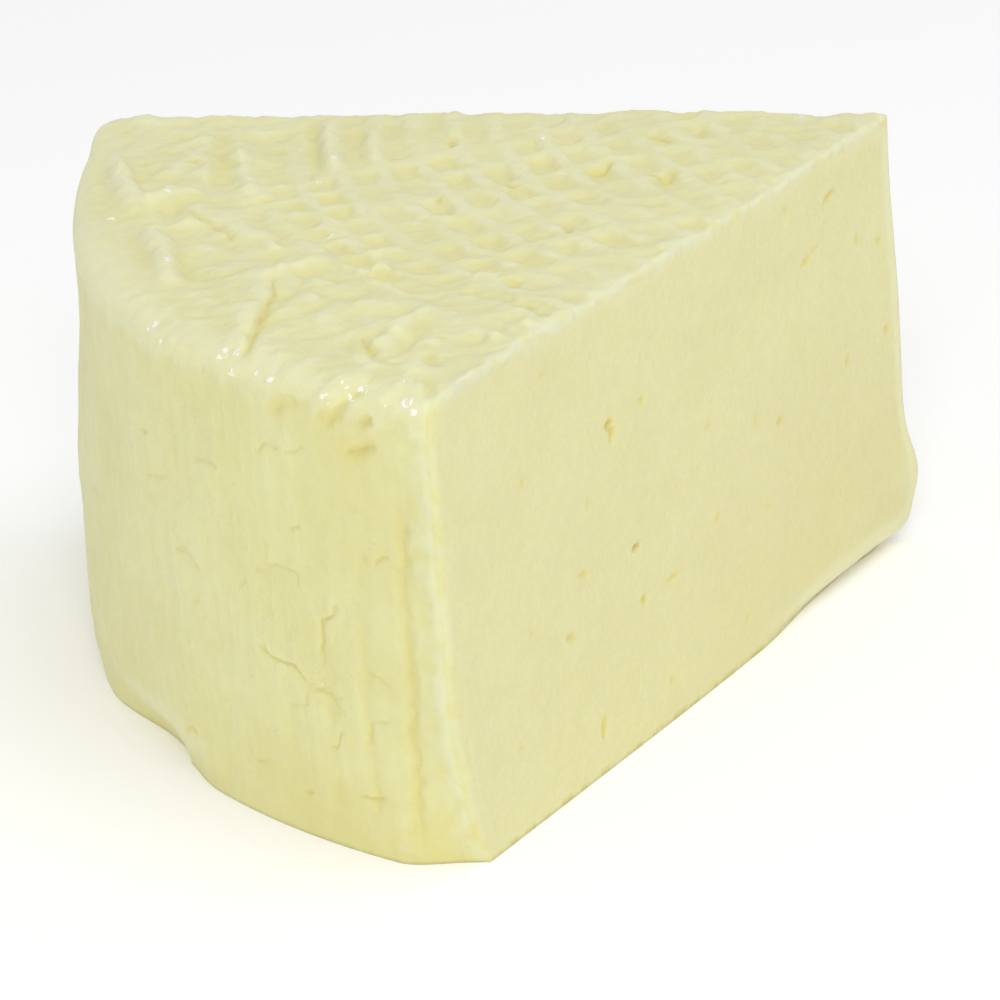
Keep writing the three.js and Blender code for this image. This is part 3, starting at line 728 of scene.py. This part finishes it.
class Wire:
    """An output socket. Expressions on wires add Math nodes; make adds any other node to the same tree."""

    def __init__(self, tree, socket):
        self.tree, self.socket = tree, socket

    @classmethod
    def make(cls, tree, kind, settings=None, sockets=None, out=0):
        node = tree.nodes.new(kind)
        for name, value in (settings or {}).items():
            setattr(node, name, value)
        for name, value in (sockets or {}).items():
            if isinstance(value, Wire):
                tree.links.new(value.socket, node.inputs[name])
            else:
                node.inputs[name].default_value = value
        return cls(tree, node.outputs[out])

    def maths(self, operation, *values):
        return Wire.make(self.tree, "ShaderNodeMath", {"operation": operation}, dict(enumerate(values)))

    def __abs__(self):
        return self.maths("ABSOLUTE", self)

    def __add__(self, other):
        return self.maths("ADD", self, other)

    def __radd__(self, other):
        return self.maths("ADD", other, self)

    def __sub__(self, other):
        return self.maths("SUBTRACT", self, other)

    def __rsub__(self, other):
        return self.maths("SUBTRACT", other, self)

    def __mul__(self, other):
        return self.maths("MULTIPLY", self, other)

    def __rmul__(self, other):
        return self.maths("MULTIPLY", other, self)

    def between(self, start, end):
        """0 below start and 1 above end, smoothly."""
        return Wire.make(self.tree, "ShaderNodeMapRange", {"interpolation_type": "SMOOTHSTEP"},
                         {"Value": self, "From Min": start, "From Max": end})

    def tint(self, below, above):
        """A colour that goes from below to above as this wire goes from 0 to 1."""
        return Wire.make(self.tree, "ShaderNodeMix", {"data_type": "RGBA"}, {0: self, 6: below, 7: above}, 2)


def shade(red, green, blue):
    """A colour as it is seen, out of 255, in Blender's own linear values."""
    seen = (c / 255 for c in (red, green, blue))
    return tuple(c / 12.92 if c <= 0.04045 else ((c + 0.055) / 1.055) ** 2.4 for c in seen) + (1.0,)


TOP_PALE, TOP_DEEP = shade(229, 227, 180), shade(223, 220, 168)
SIDE_PALE, SIDE_DEEP = shade(227, 225, 172), shade(222, 218, 160)
FLESH_PALE, FLESH_DEEP = shade(226, 222, 172), shade(221, 216, 163)
# A darker flesh that paints shade onto the cut, low down towards the point.
FLESH_PAINTED_SHADE = shade(214, 204, 150)
# White for the flecks painted on as glints.
PAINTED_GLINT_WHITE = shade(250, 250, 236)
HOLLOW_YELLOW = shade(222, 204, 110)
CRACK_TAN = shade(206, 192, 106)
# Paler colour of raised places, partly dry curd and partly painted highlight.
RAISED_PALE_AND_HIGHLIGHT = shade(234, 235, 202)
RIND_WHITE = shade(224, 227, 199)
# How strongly each of them shows over the curd.
FOOT_TINT, PAINTED_SHADE_TINT, FOOT_PAINTED_SHADOW_TINT = 0.17, 0.5, 0.55
RIND_TINT, RAISED_PALE_AND_HIGHLIGHT_TINT, SUNK_WHEY_AND_SHADE_TINT = 0.75, 0.4, 0.16
HOLLOW_TINT, LINE_TINT = 0.65, 0.7
CURD_ROUGHNESS, GLINT_FLECK_GLOSS = 0.6, 0.3

curd = bpy.data.materials.new("moist_curd")
curd.use_nodes = True
tree = curd.node_tree
surface = tree.nodes["Principled BSDF"]
where = Wire.make(tree, "ShaderNodeTexCoord", out="Object")


def grain_of(scale, detail, stretch=(1, 1, 1)):
    """Noise through the curd, in lumps for each metre, drawn out along an axis where stretch is small."""
    at = Wire.make(tree, "ShaderNodeVectorMath", {"operation": "MULTIPLY"}, {0: where, 1: stretch})
    return Wire.make(tree, "ShaderNodeTexNoise", None, {"Vector": at, "Scale": scale, "Detail": detail})


def carried(name):
    """A value that the mesh carries at its points."""
    return Wire.make(tree, "ShaderNodeAttribute", {"attribute_name": name}, None, "Fac")


hollow_of, sunk_of, cut_of = carried("hollow"), carried("sunk"), carried("cut")
level_of = Wire.make(tree, "ShaderNodeSeparateXYZ", None, {"Vector": where}, "Z")
to_point = Wire.make(tree, "ShaderNodeSeparateXYZ", None, {"Vector": where}, "X")
low_down = level_of.between(0.0652, 0.0632)
mottle = grain_of(70, 2.0).between(0.35, 0.65)
clots, fine = grain_of(420, 2.0), grain_of(1200, 1.0)
speckle = clots.between(0.3, 0.7)
streak = grain_of(600, 1.0, (1, 1, 0.06)).between(0.35, 0.65)
tone = 0.5 * mottle + 0.3 * speckle + 0.2 * streak
skin_colour = low_down.tint(tone.tint(TOP_DEEP, TOP_PALE), tone.tint(SIDE_DEEP, SIDE_PALE))
skin_colour = (FOOT_TINT * level_of.between(0.02, 0)).tint(skin_colour, HOLLOW_YELLOW)
flesh = (0.3 * mottle + 0.3 * speckle + 0.4 * fine.between(0.3, 0.7)).tint(FLESH_DEEP, FLESH_PALE)
# Painted shade: the cut is darkened low down and towards the point.
painted_shade_near_point = to_point.between(-0.02, 0.055) * level_of.between(0.05, 0)
flesh = (PAINTED_SHADE_TINT * painted_shade_near_point).tint(flesh, FLESH_PAINTED_SHADE)
# Painted shadow: tan specks along the very bottom of the cut, where it meets the floor.
foot_painted_shadow = level_of.between(0.0014, 0.0003) * clots.between(0.48, 0.62)
flesh = (FOOT_PAINTED_SHADOW_TINT * foot_painted_shadow).tint(flesh, CRACK_TAN)
colour = cut_of.tint(skin_colour, flesh)
colour = (RIND_TINT * carried("rind") * clots.between(0.32, 0.58)).tint(colour, RIND_WHITE)
# Raised places paler, partly dry curd and partly painted highlight; sunk places yellower, partly whey and
# partly painted shade.
colour = (RAISED_PALE_AND_HIGHLIGHT_TINT * (0 - sunk_of).between(0.03, 0.38)).tint(colour, RAISED_PALE_AND_HIGHLIGHT)
colour = (SUNK_WHEY_AND_SHADE_TINT * sunk_of.between(0.03, 0.35)).tint(colour, HOLLOW_YELLOW)
colour = (HOLLOW_TINT * hollow_of).tint(colour, HOLLOW_YELLOW)
off_line = carried("line_away") + 0.5 * (fine - 0.5)
line = carried("line_torn") * (1 - abs(off_line).between(0.05, 0.45)) * clots.between(0.3, 0.55)
colour = (LINE_TINT * line).tint(colour, CRACK_TAN)
# Painted glints: white flecks in the glossy spots; they also lower the roughness and raise the bump.
painted_glint_fleck = carried("painted_glint_spots").between(0.3, 0.8) * fine.between(0.5, 0.58)
colour = painted_glint_fleck.tint(colour, PAINTED_GLINT_WHITE)
height = 0.5 * fine + 0.5 * speckle + 0.2 * streak * (1 - cut_of) + 0.8 * painted_glint_fleck - 0.3 * line
bump = Wire.make(tree, "ShaderNodeBump", None, {"Strength": 0.3, "Distance": 0.0005, "Height": height})
roughness = CURD_ROUGHNESS - GLINT_FLECK_GLOSS * painted_glint_fleck
for name, wire in (("Base Color", colour), ("Roughness", roughness), ("Normal", bump)):
    tree.links.new(wire.socket, surface.inputs[name])
surface.subsurface_method = "RANDOM_WALK"
CURD_FINISH = {"Subsurface Weight": 1.0, "Subsurface Radius": (1.0, 0.85, 0.4), "Subsurface Scale": 0.0005}
CURD_FINISH |= {"IOR": 1.36, "Specular IOR Level": 0.15}
for name, value in CURD_FINISH.items():
    surface.inputs[name].default_value = value
mesh.materials.append(curd)
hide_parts("cheese_wedge")
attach(wedge, "root")

# The studio: a plain white floor that the wedge stands on, lit flat and bright from all round, with one
# large soft light above and one smaller near the camera, which stands where the photograph was taken.
FLOOR_HALF, FLOOR_GLOW, AIR_GLOW = 3, 0.11, 0.55
floor_mesh = bpy.data.meshes.new("studio_floor")
floor_corners = [(FLOOR_HALF * i, FLOOR_HALF * j, 0) for i, j in ((-1, -1), (1, -1), (1, 1), (-1, 1))]
floor_mesh.from_pydata(floor_corners, [], [(0, 1, 2, 3)])
floor = bpy.data.objects.new("studio_floor", floor_mesh)
bpy.context.scene.collection.objects.link(floor)
white = bpy.data.materials.new("white_sweep")
white.use_nodes = True
WHITE_FINISH = {"Base Color": (0.96, 0.96, 0.96, 1), "Roughness": 0.9}
WHITE_FINISH |= {"Emission Color": (1, 1, 1, 1), "Emission Strength": FLOOR_GLOW}
for name, value in WHITE_FINISH.items():
    white.node_tree.nodes["Principled BSDF"].inputs[name].default_value = value
floor_mesh.materials.append(white)

world = bpy.data.worlds.new("studio_air")
world.use_nodes = True
world.node_tree.nodes["Background"].inputs["Color"].default_value = (1, 1, 1, 1)
world.node_tree.nodes["Background"].inputs["Strength"].default_value = AIR_GLOW
bpy.context.scene.world = world


def lamp(name, at, towards, size, power):
    """A round soft light of that width in metres and power in watts."""
    light = bpy.data.lights.new(name, "AREA")
    light.shape, light.size, light.energy = "DISK", size, power
    lamp_object = bpy.data.objects.new(name, light)
    lamp_object.location = at
    lamp_object.rotation_euler = (Vector(towards) - Vector(at)).to_track_quat("-Z", "Y").to_euler()
    bpy.context.scene.collection.objects.link(lamp_object)


# The camera: its direction and roll, how far it stands from the place it looks at, and its focus in pixels.
CAMERA_AZIMUTH, CAMERA_ELEVATION, CAMERA_ROLL = math.radians(-22.1), math.radians(21.4), math.radians(-4.1)
CAMERA_FAR = 708.6
CAMERA_AIM = (-78.0, -31.1, 33.4)
PHOTO_FOCUS = 5233.6
PHOTO_SIDE = 1000
SENSOR_WIDTH = 36
back_way = Vector((math.sin(CAMERA_AZIMUTH) * math.cos(CAMERA_ELEVATION),
                   -math.cos(CAMERA_AZIMUTH) * math.cos(CAMERA_ELEVATION), math.sin(CAMERA_ELEVATION)))
level_right = Vector((math.cos(CAMERA_AZIMUTH), math.sin(CAMERA_AZIMUTH), 0))
level_up = back_way.cross(level_right)
right = math.cos(CAMERA_ROLL) * level_right + math.sin(CAMERA_ROLL) * level_up
up = math.cos(CAMERA_ROLL) * level_up - math.sin(CAMERA_ROLL) * level_right
aim = (Vector(CAMERA_AIM) + Vector(POINT_AT)) / 1000
camera_place = aim + back_way * CAMERA_FAR / 1000
lens = bpy.data.cameras.new("photo_camera")
lens.sensor_width = SENSOR_WIDTH
lens.lens = SENSOR_WIDTH * PHOTO_FOCUS / PHOTO_SIDE
camera = bpy.data.objects.new("photo_camera", lens)
camera.matrix_world = Matrix((right, up, back_way)).transposed().to_4x4()
camera.matrix_world.translation = camera_place
bpy.context.scene.collection.objects.link(camera)
bpy.context.scene.camera = camera

lamp("soft_front", aim + 2.1 * back_way + 0.4 * level_up, aim, 0.8, 16)
lamp("soft_above", (0.4, -0.6, 2.2), aim, 1.6, 13.2)
bpy.context.scene.view_settings.view_transform = "Standard"
